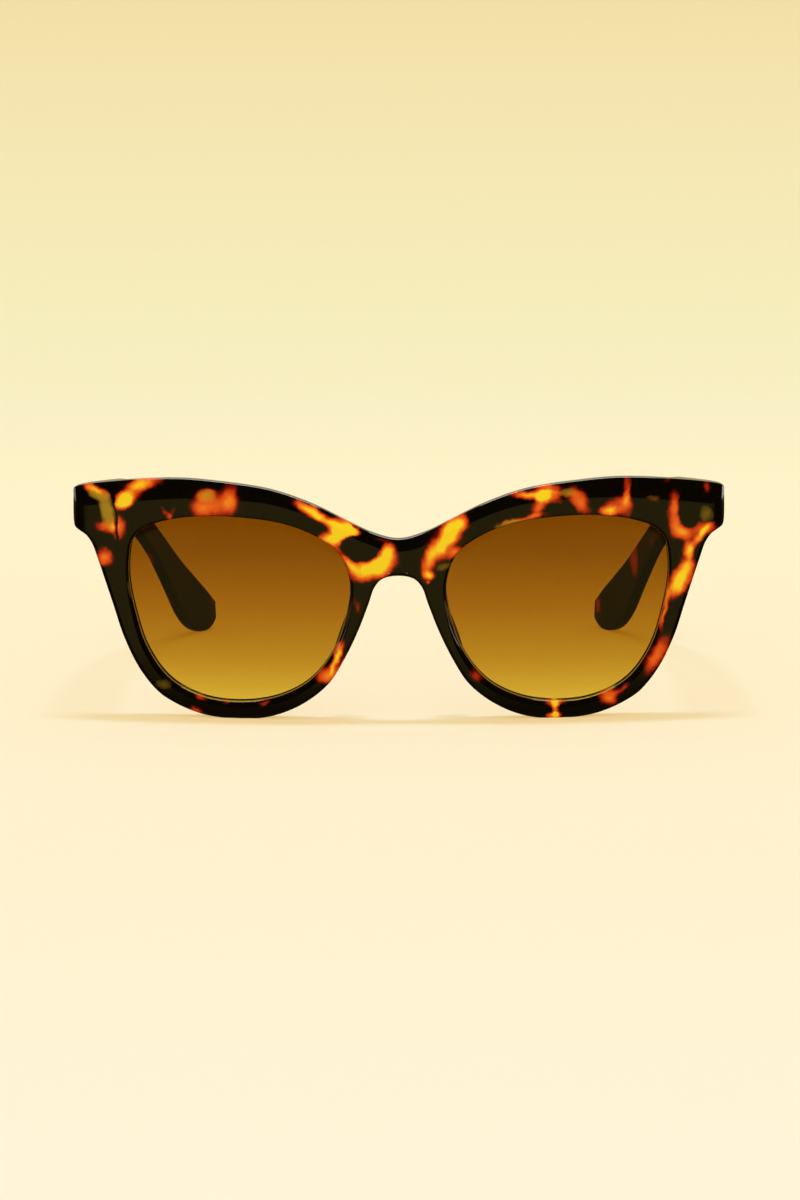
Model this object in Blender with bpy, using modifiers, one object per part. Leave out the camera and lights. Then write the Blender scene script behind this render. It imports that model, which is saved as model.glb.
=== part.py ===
"""Cat-eye sunglasses: acetate front, two tinted lenses, glued nose pads and two folding temples.

Frame of reference: metres, +Z up, the glasses stand on the rim bottoms and the temple tips at z = 0.
X runs across the face, the front looks towards -Y and the temples run back along +Y.
All sizes below are in millimetres, with y counted from the front of the bridge. They are turned into
metres when a mesh is made, and y is then counted from the middle of the object's depth.
"""
import math

import bmesh
import bpy
from mathutils import Vector

MM = 0.001
SAME_POINT = 0.001
MIDDLE_Y = 72.9

# ---- front: outlines of the half at x > 0, as (x, z) ---------------------------------------
APERTURE = [
    (60.8, 31.5), (60.7, 36.5), (59.9, 40.2), (57.6, 42.6), (52.0, 44.6), (44.0, 45.6), (35.5, 45.4),
    (26.0, 44.1), (18.7, 41.4), (13.3, 37.4), (10.9, 31.2), (11.5, 24.6), (14.4, 16.0), (19.9, 9.0),
    (27.0, 5.2), (35.5, 3.85), (44.0, 4.8), (51.5, 8.6), (56.7, 15.6), (59.6, 24.6),
]
BROW_EDGE = [
    (0.0, 40.7), (5.8, 42.1), (11.9, 45.0), (19.1, 48.5), (28.5, 51.7), (40.8, 53.5), (49.5, 54.1),
    (60.5, 53.6), (72.8, 52.0),
]
END_FACE = [(73.45, 51.5), (73.5, 50.4), (73.5, 43.9), (73.2, 42.8)]
RIM_EDGE = [
    (72.3, 42.1), (70.6, 41.0), (69.2, 39.0), (68.0, 35.6), (64.6, 25.2), (62.3, 18.1), (58.8, 10.9),
    (54.6, 5.7), (50.8, 3.2), (45.4, 1.0), (40.0, 0.0), (31.5, 0.0), (25.8, 1.4), (20.3, 4.2),
    (15.6, 8.2), (12.1, 13.7), (9.0, 20.1),
]
BRIDGE_ARCH = [(6.6, 26.3), (5.3, 29.9), (3.5, 31.8), (0.0, 32.5)]
RAY_CENTRE = (36.0, 33.0)
BRIDGE_RISES = (3.0, 5.7)
LEAST_SLANT = 0.5
BROW_STEPS = 20
END_FACE_STEPS = 9
RIM_STEPS = 40

# ---- front: depths and edges ---------------------------------------------------------------
BEND_RADIUS = 300.0
RIM_THICKNESS = 4.2
EDGE_BREAK = 0.35
BROW_RECESS = 0.9
BROW_BAND_CENTRE = 2.6
BROW_BAND_END = 5.0
BROW_BAND_SPREAD = (15.0, 60.0)
BROW_BAND_TAIL = (76.5, 51.6)
END_ROLL = 0.9
END_ROLL_START = 70.3
END_ROLL_REACH = 3.2
BAND_SHARE = 0.75
BAND_POINTS = (0.6, 0.3)
BEVEL_TOP = 0.35
BEVEL_SIDE = 0.75
BEVEL_BOTTOM = 1.5
BEVEL_DEPTH = 1.3
BEVEL_FULL_FALL = 0.83
BEVEL_FULL_RISE = 0.5
GROOVE_DEPTH = 1.1
GROOVE_FRONT = 2.0
GROOVE_BACK = 2.6
GROOVE_END = 3.25
END_BLOCK_REAR = 14.5
END_BLOCK_START_X = 60.8
END_BLOCK_FULL_X = 63.8
END_BLOCK_START_Z = 38.8
END_BLOCK_FULL_Z = 42.0

# ---- lenses --------------------------------------------------------------------------------
LENS_CENTRE = (36.0, 24.6)
LENS_FRONT = 1.55
LENS_THICKNESS = 1.5
LENS_CROWN = 0.9
LENS_CLEARANCE = 0.15
LENS_TONGUE = 0.75
LENS_STEPS = 44

# ---- nose pads: middle line as (x, z), then rings as (y, half length, half width) ----------
PAD_LINE = [(8.9, 27.6), (9.4, 24.0), (10.6, 20.0), (12.3, 16.4), (14.2, 13.4)]
PAD_RINGS = [(4.55, 0.92, 1.25), (5.6, 0.95, 1.5), (7.2, 0.78, 1.35), (8.6, 0.50, 0.85), (9.1, 0.30, 0.45)]
PAD_SPLAY = 0.35
PAD_STEPS = 16

# ---- hinges --------------------------------------------------------------------------------
PIN_X = 67.6
PIN_Y = 16.1
KNUCKLE_RADIUS = 1.35
KNUCKLE_LOW = (44.8, 46.8)
KNUCKLE_MIDDLE = (46.95, 49.05)
KNUCKLE_HIGH = (49.2, 51.2)
PIN_HOLE_RADIUS = 0.68
SCREW_RADIUS = 0.6
SCREW_HEAD_RADIUS = 1.25
SCREW_HEAD = (51.32, 51.95)
SCREW_FOOT = 44.85
SLOT_FLOOR = 51.65
SLOT_WIDTH = 0.4
PIN_HOLE_SPAN = (43.0, 53.0)
WEB_INSET = 0.12
WEB_FRONT = 14.0
TEMPLE_WEB = (15.25, 17.3)
TEMPLE_WEB_REACH = 69.6
SEAT_GAP = 0.12
FRONT_PLATE = ((65.6, 13.75, 44.5), (69.0, 14.4, 51.3))
FRONT_ANCHOR = ((66.6, 11.3, 45.5), (68.6, 14.1, 50.3))
TEMPLE_PLATE = ((69.2, 15.0, 44.75), (70.0, 25.0, 50.8))

# ---- temples: stations along the arm as (x, y, z, thickness, height) ------------------------
TEMPLE_STATIONS = [
    (71.2, 14.65, 47.7, 4.2, 8.6), (71.2, 28.0, 46.2, 4.1, 8.2), (71.7, 47.0, 44.2, 3.8, 7.8),
    (71.6, 68.0, 41.7, 3.5, 7.4), (70.7, 87.0, 38.6, 3.3, 6.9), (69.2, 98.0, 35.3, 3.2, 6.8),
    (66.0, 111.5, 27.4, 3.1, 7.2), (62.4, 123.0, 17.6, 3.1, 9.8), (59.8, 130.5, 11.0, 3.1, 12.6),
    (57.7, 135.8, 6.9, 3.1, 12.8), (55.8, 139.8, 5.1, 2.9, 11.3), (54.3, 143.3, 4.8, 2.4, 8.4),
    (53.4, 145.5, 5.0, 1.7, 5.2),
]
TEMPLE_STEPS = 26
TEMPLE_CORNER = 0.55
CORE_THICKNESS = 1.2
CORE_HEIGHT = 2.0
CORE_CLEARANCE = 0.12
CORE_CORNER = 0.3
CHANNEL_CORNER = 0.35
CORE_LAST_STEP = 20

SURFACES = {
    "tortoise_acetate": ((0.045, 0.022, 0.008), 0.12, 0.0),
    "brown_gradient_lens": ((0.35, 0.16, 0.02), 0.05, 0.0),
    "hinge_brass": ((0.62, 0.45, 0.18), 0.28, 1.0),
    "screw_steel": ((0.55, 0.54, 0.52), 0.25, 1.0),
    "core_wire_metal": ((0.60, 0.57, 0.50), 0.35, 1.0),
}


# ---- small curve helpers -------------------------------------------------------------------
def spline(points, closed=False, steps=10, before=None, after=None):
    """Centripetal Catmull-Rom curve through tuples of any length; before and after only steer its ends."""
    rows = [Vector(point) for point in points]
    if closed:
        rows = [rows[-1]] + rows + [rows[0], rows[1]]
    else:
        first = Vector(before) if before else 2 * rows[0] - rows[1]
        last = Vector(after) if after else 2 * rows[-1] - rows[-2]
        rows = [first] + rows + [last]
    curve = []
    for p0, p1, p2, p3 in zip(rows, rows[1:], rows[2:], rows[3:]):
        t1 = (p1 - p0).length ** 0.5
        t2 = t1 + (p2 - p1).length ** 0.5
        t3 = t2 + (p3 - p2).length ** 0.5
        for step in range(steps):
            t = t1 + (t2 - t1) * step / steps
            a1 = p0 * ((t1 - t) / t1) + p1 * (t / t1)
            a2 = p1 * ((t2 - t) / (t2 - t1)) + p2 * ((t - t1) / (t2 - t1))
            a3 = p2 * ((t3 - t) / (t3 - t2)) + p3 * ((t - t2) / (t3 - t2))
            b1 = a1 * ((t2 - t) / t2) + a2 * (t / t2)
            b2 = a2 * ((t3 - t) / (t3 - t1)) + a3 * ((t - t1) / (t3 - t1))
            curve.append(b1 * ((t2 - t) / (t2 - t1)) + b2 * ((t - t1) / (t2 - t1)))
    if not closed:
        curve.append(rows[-2])
    return curve


def resample(curve, count, closed=False):
    """Points evenly spaced along a polyline; a closed one doesn't repeat its first point."""
    line = list(curve) + ([curve[0]] if closed else [])
    lengths = [0.0]
    for a, b in zip(line, line[1:]):
        lengths.append(lengths[-1] + (b - a).length)
    spans = count if closed else count - 1
    result = []
    span = 0
    for index in range(count):
        target = lengths[-1] * index / spans
        while span < len(line) - 2 and lengths[span + 1] < target:
            span += 1
        share = (target - lengths[span]) / (lengths[span + 1] - lengths[span])
        result.append(line[span].lerp(line[span + 1], min(1.0, share)))
    return result


def smoothstep(low, high, value):
    share = min(1.0, max(0.0, (value - low) / (high - low)))
    return share * share * (3 - 2 * share)


def distance_to(line, point):
    """Shortest distance from a flat point to an open polyline."""
    best = 1e9
    for a, b in zip(line, line[1:]):
        edge = b - a
        share = min(1.0, max(0.0, (point - a).dot(edge) / edge.length_squared))
        best = min(best, (a + edge * share - point).length)
    return best


def ray_hit(origin, direction, loop):
    """Distance and outward normal where a ray from inside a closed loop meets it."""
    for index, a in enumerate(loop):
        b = loop[(index + 1) % len(loop)]
        edge = b - a
        cross = direction.x * edge.y - direction.y * edge.x
        if abs(cross) < 1e-9:
            continue
        gap = a - origin
        along = (gap.x * edge.y - gap.y * edge.x) / cross
        share = (gap.x * direction.y - gap.y * direction.x) / cross
        if along > 0 and 0 <= share <= 1:
            normal = Vector((edge.y, -edge.x)).normalized()
            return along, abs(normal.dot(direction))
    raise ValueError("the ray misses the loop")


# ---- object helpers ------------------------------------------------------------------------
def clear_scene():
    for old in list(bpy.data.objects):
        bpy.data.objects.remove(old, do_unlink=True)


def new_collection(name):
    group = bpy.data.collections.new(name)
    bpy.context.scene.collection.children.link(group)
    return group


def surface(name):
    colour, roughness, metallic = SURFACES[name]
    material = bpy.data.materials.new(name)
    material.use_nodes = True
    shader = material.node_tree.nodes["Principled BSDF"]
    shader.inputs["Base Color"].default_value = (*colour, 1.0)
    shader.inputs["Roughness"].default_value = roughness
    shader.inputs["Metallic"].default_value = metallic
    return material


def add_object(name, mesh, group, material=None):
    item = bpy.data.objects.new(name, mesh)
    group.objects.link(item)
    if material is not None:
        mesh.materials.append(material)
    return item


def mesh_from(name, verts, faces, merge=0.0):
    """Mesh from millimetre points, with its faces turned outwards."""
    shape = bmesh.new()
    made = [shape.verts.new((x * MM, (y - MIDDLE_Y) * MM, z * MM)) for x, y, z in verts]
    for face in faces:
        shape.faces.new([made[index] for index in face])
    if merge > 0:
        bmesh.ops.remove_doubles(shape, verts=shape.verts, dist=merge * MM)
        bmesh.ops.dissolve_degenerate(shape, edges=shape.edges, dist=merge * MM)
    bmesh.ops.recalc_face_normals(shape, faces=shape.faces)
    mesh = bpy.data.meshes.new(name)
    shape.to_mesh(mesh)
    shape.free()
    return mesh


def loft(rings, closed_path=False, capped=True):
    """Quads between equal rings, as one vertex list and one face list."""
    size = len(rings[0])
    verts = [point for ring in rings for point in ring]
    faces = []
    last = len(rings) if closed_path else len(rings) - 1
    for row in range(last):
        this = row * size
        after = (row + 1) % len(rings) * size
        for column in range(size):
            beside = (column + 1) % size
            faces.append((this + column, this + beside, after + beside, after + column))
    if capped and not closed_path:
        faces.append(tuple(range(size)))
        faces.append(tuple(range(len(verts) - size, len(verts))))
    return verts, faces


def box(name, low, high, side, group, material=None):
    """Axis-aligned box given for x > 0, mirrored for the other side."""
    spots = [(x, y, z) for x in (low[0], high[0]) for y in (low[1], high[1]) for z in (low[2], high[2])]
    corners = [(side * x, y, z) for x, y, z in spots]
    faces = [(0, 1, 3, 2), (4, 6, 7, 5), (0, 4, 5, 1), (2, 3, 7, 6), (0, 2, 6, 4), (1, 5, 7, 3)]
    return add_object(name, mesh_from(name, corners, faces), group, material)


def grown(limits, gap):
    low, high = limits
    return [value - gap for value in low], [value + gap for value in high]


def upright_rod(name, radius, span, side, group, material=None, sides=24):
    """Upright cylinder on the hinge axis."""
    rings = []
    for z in span:
        ring = []
        for step in range(sides):
            angle = 2 * math.pi * step / sides
            ring.append((side * (PIN_X + radius * math.cos(angle)), PIN_Y + radius * math.sin(angle), z))
        rings.append(ring)
    return add_object(name, mesh_from(name, *loft(rings)), group, material)


def combine(target, tool, operation):
    modifier = target.modifiers.new(operation.lower() + "_" + tool.name, "BOOLEAN")
    modifier.operation = operation
    modifier.solver = "EXACT"
    modifier.object = tool
    tool.hide_render = True
    tool.display_type = "WIRE"


# ---- front ---------------------------------------------------------------------------------
def bend(x):
    return x * x / (2 * BEND_RADIUS)


def front_y(x, z, brow):
    """Front surface: the bend, with the brow and the outer ends falling back towards their edges."""
    band = BROW_BAND_CENTRE + (BROW_BAND_END - BROW_BAND_CENTRE) * smoothstep(*BROW_BAND_SPREAD, x)
    below = distance_to(brow, Vector((x, z)))
    share = max(0.0, 1 - below / band)
    roll = max(0.0, (x - END_ROLL_START) / END_ROLL_REACH) ** 2 * END_ROLL
    return bend(x) + math.hypot(BROW_RECESS * share * share, roll)


def rear_y(x, z):
    """Rear surface: even thickness, built up to a flat block behind the end piece."""
    plain = bend(x) + RIM_THICKNESS
    outward = smoothstep(END_BLOCK_START_X, END_BLOCK_FULL_X, x)
    upward = smoothstep(END_BLOCK_START_Z, END_BLOCK_FULL_Z, z)
    return plain + (END_BLOCK_REAR - plain) * outward * upward


def bevel_width(direction):
    """Width of the bevel round the lens opening: widest below, nearly none above."""
    if direction.y < 0:
        return BEVEL_SIDE + (BEVEL_BOTTOM - BEVEL_SIDE) * min(1.0, -direction.y / BEVEL_FULL_FALL)
    return BEVEL_TOP + (BEVEL_SIDE - BEVEL_TOP) * (1 - smoothstep(0.0, BEVEL_FULL_RISE, direction.y))


def mirrored(point):
    return (-point[0], point[1])


def brow_curve():
    return spline(BROW_EDGE, before=mirrored(BROW_EDGE[1]), after=END_FACE[0])


def half_outline():
    """Outer edge of the half front as (point, edge break), from the bridge over the brow and back."""
    corner_line = [BROW_EDGE[-1]] + END_FACE + [RIM_EDGE[0]]
    brow = resample(brow_curve(), BROW_STEPS)
    corner = resample(spline(corner_line, before=BROW_EDGE[-2], after=RIM_EDGE[1]), END_FACE_STEPS)[1:-1]
    rim_line = spline(RIM_EDGE + BRIDGE_ARCH, before=END_FACE[-1], after=mirrored(BRIDGE_ARCH[-2]))
    rim = resample(rim_line, RIM_STEPS)
    middle_top = BROW_EDGE[0][1]
    middle_low = BRIDGE_ARCH[-1][1]
    outline = [(point, EDGE_BREAK) for point in brow + corner + rim]
    for rise in (EDGE_BREAK, *BRIDGE_RISES, middle_top - middle_low - EDGE_BREAK):
        outline.append((Vector((0.0, middle_low + rise)), 0.0))
    return outline


def front_section(point, edge_break, aperture, brow):
    """One closed section of the rim, along a ray from inside the lens opening."""
    centre = Vector(RAY_CENTRE)
    reach = point - centre
    outer = reach.length
    direction = reach / outer
    inner, slant = ray_hit(centre, direction, aperture)
    slant = max(LEAST_SLANT, slant)
    bevel = bevel_width(direction) / slant
    foot = inner + bevel
    band = min(BROW_BAND_END, (outer - foot) * BAND_SHARE)
    rear_inner = inner + EDGE_BREAK / slant
    rear_outer = outer - edge_break
    groove = GROOVE_DEPTH / slant

    def at(distance, y_of):
        spot = centre + direction * distance
        x = spot.x if spot.x > SAME_POINT else 0.0
        return (x, y_of(x, spot.y), max(0.0, spot.y))

    def surface_front(x, z):
        return front_y(x, z, brow)

    def depth(value):
        return lambda x, z: bend(x) + value

    front = [foot, (foot + outer - band) / 2, outer - band] + [outer - band * share for share in BAND_POINTS]
    ring = [at(distance, surface_front) for distance in front]
    ring.append(at(outer - edge_break, surface_front))
    ring.append(at(outer, lambda x, z: front_y(x, z, brow) + edge_break))
    ring.append(at(outer, lambda x, z: rear_y(x, z) - edge_break))
    ring.append(at(rear_outer, rear_y))
    for share in (0.25, 0.5, 0.75):
        ring.append(at(rear_outer + (rear_inner - rear_outer) * share, rear_y))
    ring.append(at(rear_inner, rear_y))
    ring.append(at(inner, lambda x, z: rear_y(x, z) - EDGE_BREAK))
    ring.append(at(inner, depth(GROOVE_END)))
    ring.append(at(inner + groove, depth(GROOVE_BACK)))
    ring.append(at(inner + groove, depth(GROOVE_FRONT)))
    ring.append(at(inner, depth(BEVEL_DEPTH)))
    return ring


def build_front(group, tools, material):
    aperture = [Vector(p) for p in spline(APERTURE, closed=True)]
    brow = brow_curve() + [Vector(BROW_BAND_TAIL)]
    sections = [front_section(point, edge, aperture, brow) for point, edge in half_outline()]
    verts, faces = loft(sections, closed_path=True)
    faces = [face for face in faces if any(verts[index][0] > 0 for index in face)]
    mesh = mesh_from("frame_front", verts, faces, merge=SAME_POINT)
    front = add_object("frame_front", mesh, group, material)
    mirror = front.modifiers.new("mirror", "MIRROR")
    mirror.use_axis[0] = True
    mirror.merge_threshold = 0.00001
    front.modifiers.new("facets", "TRIANGULATE")
    for side, word in ((1, "right"), (-1, "left")):
        seat = grown(FRONT_PLATE, SEAT_GAP)
        seat[1][1] = END_BLOCK_REAR + 1
        combine(front, box("seat_cut_" + word, *seat, side, tools), "DIFFERENCE")
        combine(front, box("anchor_cut_" + word, *grown(FRONT_ANCHOR, SEAT_GAP), side, tools), "DIFFERENCE")


# ---- lenses --------------------------------------------------------------------------------
def build_lens(word, side, group, material):
    edge = resample(spline(APERTURE, closed=True), LENS_STEPS, closed=True)
    centre = Vector(LENS_CENTRE)

    def ring(scale, offset, base):
        points = []
        for index, point in enumerate(edge):
            along = edge[(index + 1) % LENS_STEPS] - edge[index - 1]
            outward = Vector((along.y, -along.x)).normalized()
            if outward.dot(point - centre) < 0:
                outward.negate()
            spot = centre + (point + outward * offset - centre) * scale
            y = bend(spot.x) + base - LENS_CROWN * (1 - scale * scale)
            points.append((side * spot.x, y, spot.y))
        return points

    scales = (0.2, 0.5, 0.8, 1.0)
    middle = LENS_FRONT + LENS_THICKNESS / 2
    rings = [ring(scale, -LENS_CLEARANCE, LENS_FRONT) for scale in scales]
    rings.append(ring(1.0, LENS_TONGUE, middle))
    rings += [ring(scale, -LENS_CLEARANCE, LENS_FRONT + LENS_THICKNESS) for scale in reversed(scales)]
    name = "lens_" + word
    add_object(name, mesh_from(name, *loft(rings)), group, material)


# ---- nose pads -----------------------------------------------------------------------------
def build_pad(word, side, group, material):
    line = spline(PAD_LINE)
    rings = []
    for y, half_length, half_width in PAD_RINGS:
        ring = []
        for step in range(PAD_STEPS):
            angle = 2 * math.pi * step / PAD_STEPS
            share = 0.5 + 0.5 * half_length * math.cos(angle)
            place = share * (len(line) - 1)
            index = min(len(line) - 2, int(place))
            spot = line[index].lerp(line[index + 1], place - index)
            along = (line[index + 1] - line[index]).normalized()
            across = Vector((-along.y, along.x))
            spot = spot + across * half_width * math.sin(angle)
            shift = PAD_SPLAY * (y - PAD_RINGS[0][0])
            ring.append((side * (spot.x + shift), y, spot.y))
        rings.append(ring)
    name = "nose_pad_" + word
    add_object(name, mesh_from(name, *loft(rings)), group, material)


# ---- hinges --------------------------------------------------------------------------------
def build_front_leaf(word, side, group, tools, material):
    leaf = box("front_hinge_leaf_" + word, *FRONT_PLATE, side, group, material)
    combine(leaf, box("leaf_anchor_" + word, *FRONT_ANCHOR, side, tools), "UNION")
    web = KNUCKLE_RADIUS - WEB_INSET
    for level, span in (("low", KNUCKLE_LOW), ("high", KNUCKLE_HIGH)):
        low = (PIN_X - web, WEB_FRONT, span[0])
        high = (PIN_X + web, PIN_Y, span[1])
        combine(leaf, box("web_" + level + "_" + word, low, high, side, tools), "UNION")
        knuckle = upright_rod("knuckle_" + level + "_" + word, KNUCKLE_RADIUS, span, side, tools)
        combine(leaf, knuckle, "UNION")
    hole = upright_rod("front_pin_cut_" + word, PIN_HOLE_RADIUS, PIN_HOLE_SPAN, side, tools)
    combine(leaf, hole, "DIFFERENCE")


def build_temple_leaf(word, side, group, tools, material):
    leaf = box("temple_hinge_leaf_" + word, *TEMPLE_PLATE, side, group, material)
    low = (PIN_X, TEMPLE_WEB[0], KNUCKLE_MIDDLE[0])
    high = (TEMPLE_WEB_REACH, TEMPLE_WEB[1], KNUCKLE_MIDDLE[1])
    combine(leaf, box("temple_web_" + word, low, high, side, tools), "UNION")
    knuckle = upright_rod("knuckle_middle_" + word, KNUCKLE_RADIUS, KNUCKLE_MIDDLE, side, tools)
    combine(leaf, knuckle, "UNION")
    hole = upright_rod("temple_pin_cut_" + word, PIN_HOLE_RADIUS, PIN_HOLE_SPAN, side, tools)
    combine(leaf, hole, "DIFFERENCE")


def build_screw(word, side, group, tools, material):
    shank = (SCREW_FOOT, (SCREW_HEAD[0] + SCREW_HEAD[1]) / 2)
    screw = upright_rod("hinge_screw_" + word, SCREW_RADIUS, shank, side, group, material)
    combine(screw, upright_rod("screw_head_" + word, SCREW_HEAD_RADIUS, SCREW_HEAD, side, tools), "UNION")
    low = (PIN_X - 2 * SCREW_HEAD_RADIUS, PIN_Y - SLOT_WIDTH / 2, SLOT_FLOOR)
    high = (PIN_X + 2 * SCREW_HEAD_RADIUS, PIN_Y + SLOT_WIDTH / 2, SCREW_HEAD[1] + SLOT_WIDTH)
    combine(screw, box("screw_slot_" + word, low, high, side, tools), "DIFFERENCE")


# ---- temples -------------------------------------------------------------------------------
def temple_frames():
    """Evenly spaced stations of the arm with their sideways and upward directions."""
    stations = resample([Vector(row) for row in spline(TEMPLE_STATIONS)], TEMPLE_STEPS)
    frames = []
    for index, station in enumerate(stations):
        before = stations[max(0, index - 1)]
        after = stations[min(TEMPLE_STEPS - 1, index + 1)]
        tangent = Vector((after[0] - before[0], after[1] - before[1], after[2] - before[2])).normalized()
        if index == 0:
            tangent = Vector((0.0, 1.0, 0.0))
        sideways = Vector((tangent.y, -tangent.x, 0.0)).normalized()
        upward = sideways.cross(tangent).normalized()
        middle = Vector((station[0], station[1], station[2]))
        frames.append((middle, sideways, upward, station[3], station[4]))
    return frames


def rounded_ring(frame, side, thickness, height, corner):
    """Twelve points of a rounded rectangle across the arm, resting on z = 0 where it is lowest."""
    middle, sideways, upward, _, _ = frame
    ring = []
    for turn, (across, rise) in enumerate(((1, 1), (-1, 1), (-1, -1), (1, -1))):
        for step in range(3):
            angle = math.radians(90 * turn + 45 * step)
            out = across * (thickness / 2 - corner) + corner * math.cos(angle)
            lift = rise * (height / 2 - corner) + corner * math.sin(angle)
            spot = middle + sideways * out + upward * lift
            ring.append((side * spot.x, spot.y, max(0.0, spot.z)))
    return ring


def build_temple(word, side, group, tools, material, core_material):
    frames = temple_frames()
    core = frames[:CORE_LAST_STEP]
    channel_size = (CORE_THICKNESS + 2 * CORE_CLEARANCE, CORE_HEIGHT + 2 * CORE_CLEARANCE)
    rings = [rounded_ring(frame, side, *channel_size, CHANNEL_CORNER) for frame in reversed(core)]
    for frame in frames:
        corner = TEMPLE_CORNER * frame[3] / 2
        rings.append(rounded_ring(frame, side, frame[3], frame[4], corner))
    name = "temple_" + word
    temple = add_object(name, mesh_from(name, *loft(rings)), group, material)
    pocket = grown(TEMPLE_PLATE, SEAT_GAP)
    pocket[0][0] = PIN_X
    pocket[0][1] = WEB_FRONT
    combine(temple, box("pocket_cut_" + word, *pocket, side, tools), "DIFFERENCE")
    wire = [rounded_ring(frame, side, CORE_THICKNESS, CORE_HEIGHT, CORE_CORNER) for frame in core[:-1]]
    name = "temple_core_" + word
    add_object(name, mesh_from(name, *loft(wire)), group, core_material)


def main():
    clear_scene()
    group = new_collection("cat_eye_sunglasses")
    tools = new_collection("shaping_tools")
    look = {name: surface(name) for name in SURFACES}
    build_front(group, tools, look["tortoise_acetate"])
    for side, word in ((1, "right"), (-1, "left")):
        build_lens(word, side, group, look["brown_gradient_lens"])
        build_pad(word, side, group, look["tortoise_acetate"])
        build_front_leaf(word, side, group, tools, look["hinge_brass"])
        build_temple_leaf(word, side, group, tools, look["hinge_brass"])
        build_screw(word, side, group, tools, look["screw_steel"])
        build_temple(word, side, group, tools, look["tortoise_acetate"], look["core_wire_metal"])


main()
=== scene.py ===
"""Cat-eye sunglasses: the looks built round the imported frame.

Shapes are worked out in millimetres, with x across the face, z up and y counted from the front of the
bridge, and turned into the row frame's metres when a mesh is made.
"""

import math

import bmesh
import bpy
import numpy as np
from mathutils import Matrix, Vector


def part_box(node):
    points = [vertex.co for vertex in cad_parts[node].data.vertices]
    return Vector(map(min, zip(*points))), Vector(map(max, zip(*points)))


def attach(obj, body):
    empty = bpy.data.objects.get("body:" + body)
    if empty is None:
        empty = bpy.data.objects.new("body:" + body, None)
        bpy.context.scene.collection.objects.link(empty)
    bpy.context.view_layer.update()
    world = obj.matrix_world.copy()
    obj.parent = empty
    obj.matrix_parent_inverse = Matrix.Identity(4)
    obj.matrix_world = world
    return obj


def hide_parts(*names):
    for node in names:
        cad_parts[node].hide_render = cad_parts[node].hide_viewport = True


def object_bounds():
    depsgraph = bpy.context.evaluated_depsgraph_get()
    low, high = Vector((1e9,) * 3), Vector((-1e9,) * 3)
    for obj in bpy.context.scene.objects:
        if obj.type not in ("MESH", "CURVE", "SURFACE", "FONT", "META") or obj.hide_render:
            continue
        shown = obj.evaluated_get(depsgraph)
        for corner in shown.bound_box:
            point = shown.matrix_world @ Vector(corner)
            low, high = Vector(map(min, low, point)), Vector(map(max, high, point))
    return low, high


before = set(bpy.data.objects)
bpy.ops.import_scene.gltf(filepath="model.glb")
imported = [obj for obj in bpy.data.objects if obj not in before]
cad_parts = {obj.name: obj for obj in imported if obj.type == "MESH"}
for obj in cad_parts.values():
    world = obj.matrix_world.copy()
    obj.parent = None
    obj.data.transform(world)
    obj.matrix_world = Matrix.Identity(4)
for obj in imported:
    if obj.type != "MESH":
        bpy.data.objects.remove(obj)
cad_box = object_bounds()

MM = 0.001
FRONT_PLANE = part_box("frame_front")[0].y
SIDES = ((1, "right"), (-1, "left"))

# ---- outlines of the half at x > 0, as (x, z) ------------------------------------------------
APERTURE = [
    (60.8, 31.5), (60.7, 36.5), (59.9, 40.2), (57.6, 42.6), (52.0, 44.6), (44.0, 45.6), (35.5, 45.4),
    (26.0, 44.1), (18.7, 41.4), (13.3, 37.4), (10.9, 31.2), (11.5, 24.6), (14.4, 16.0), (19.9, 9.0),
    (27.0, 5.2), (35.5, 3.85), (44.0, 4.8), (51.5, 8.6), (56.7, 15.6), (59.6, 24.6),
]
BROW_EDGE = [
    (0.0, 40.7), (5.8, 42.1), (11.9, 45.0), (19.1, 48.5), (28.5, 51.7), (40.8, 53.5), (49.5, 54.1),
    (60.5, 53.6), (72.8, 52.0),
]
END_FACE = [(73.45, 51.5), (73.5, 50.4), (73.5, 43.9), (73.2, 42.8)]
RIM_EDGE = [
    (72.3, 42.1), (70.6, 41.0), (69.2, 39.0), (68.0, 35.6), (64.6, 25.2), (62.3, 18.1), (58.8, 10.9),
    (54.6, 5.7), (50.8, 3.2), (45.4, 1.0), (40.0, 0.0), (31.5, 0.0), (25.8, 1.4), (20.3, 4.2),
    (15.6, 8.2), (12.1, 13.7), (9.0, 20.1),
]
BRIDGE_ARCH = [(6.6, 26.3), (5.3, 29.9), (3.5, 31.8), (0.0, 32.5)]
RAY_CENTRE = np.array((36.0, 33.0))
BROW_STEPS = 110
END_STEPS = 34
RIM_STEPS = 170
MIDDLE_STEPS = 16

# ---- front: depths and edges -----------------------------------------------------------------
BEND_RADIUS = 300.0
RIM_THICKNESS = 4.2
EDGE_ROUND = 0.45
RIM_ROUND = 0.75
ROUND_BROW_Z = 46
ROUND_RIM_Z = 30
BROW_RECESS = 0.9
BROW_BAND_CENTRE = 2.6
BROW_BAND_END = 5.0
BEVEL_TOP = 0.35
BEVEL_SIDE = 0.75
BEVEL_BOTTOM = 1.5
BEVEL_DEPTH = 1.2
LIP_DEPTH = 0.22
LIP_SHARE = 0.16
LIP_ROWS = 2
GROOVE_DEPTH = 1.0
GROOVE_FRONT = 2.0
GROOVE_BACK = 2.6
GROOVE_END = 3.25
END_BLOCK_REAR = 14.5
END_BLOCK_X = (60.8, 63.8)
END_BLOCK_Z = (38.8, 42.0)

# ---- lenses ----------------------------------------------------------------------------------
LENS_CENTRE = np.array((36.0, 24.6))
LENS_FRONT = 1.55
LENS_THICKNESS = 1.5
LENS_CROWN = 0.9
LENS_TONGUE = 0.7
LENS_STEPS = 168

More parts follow.
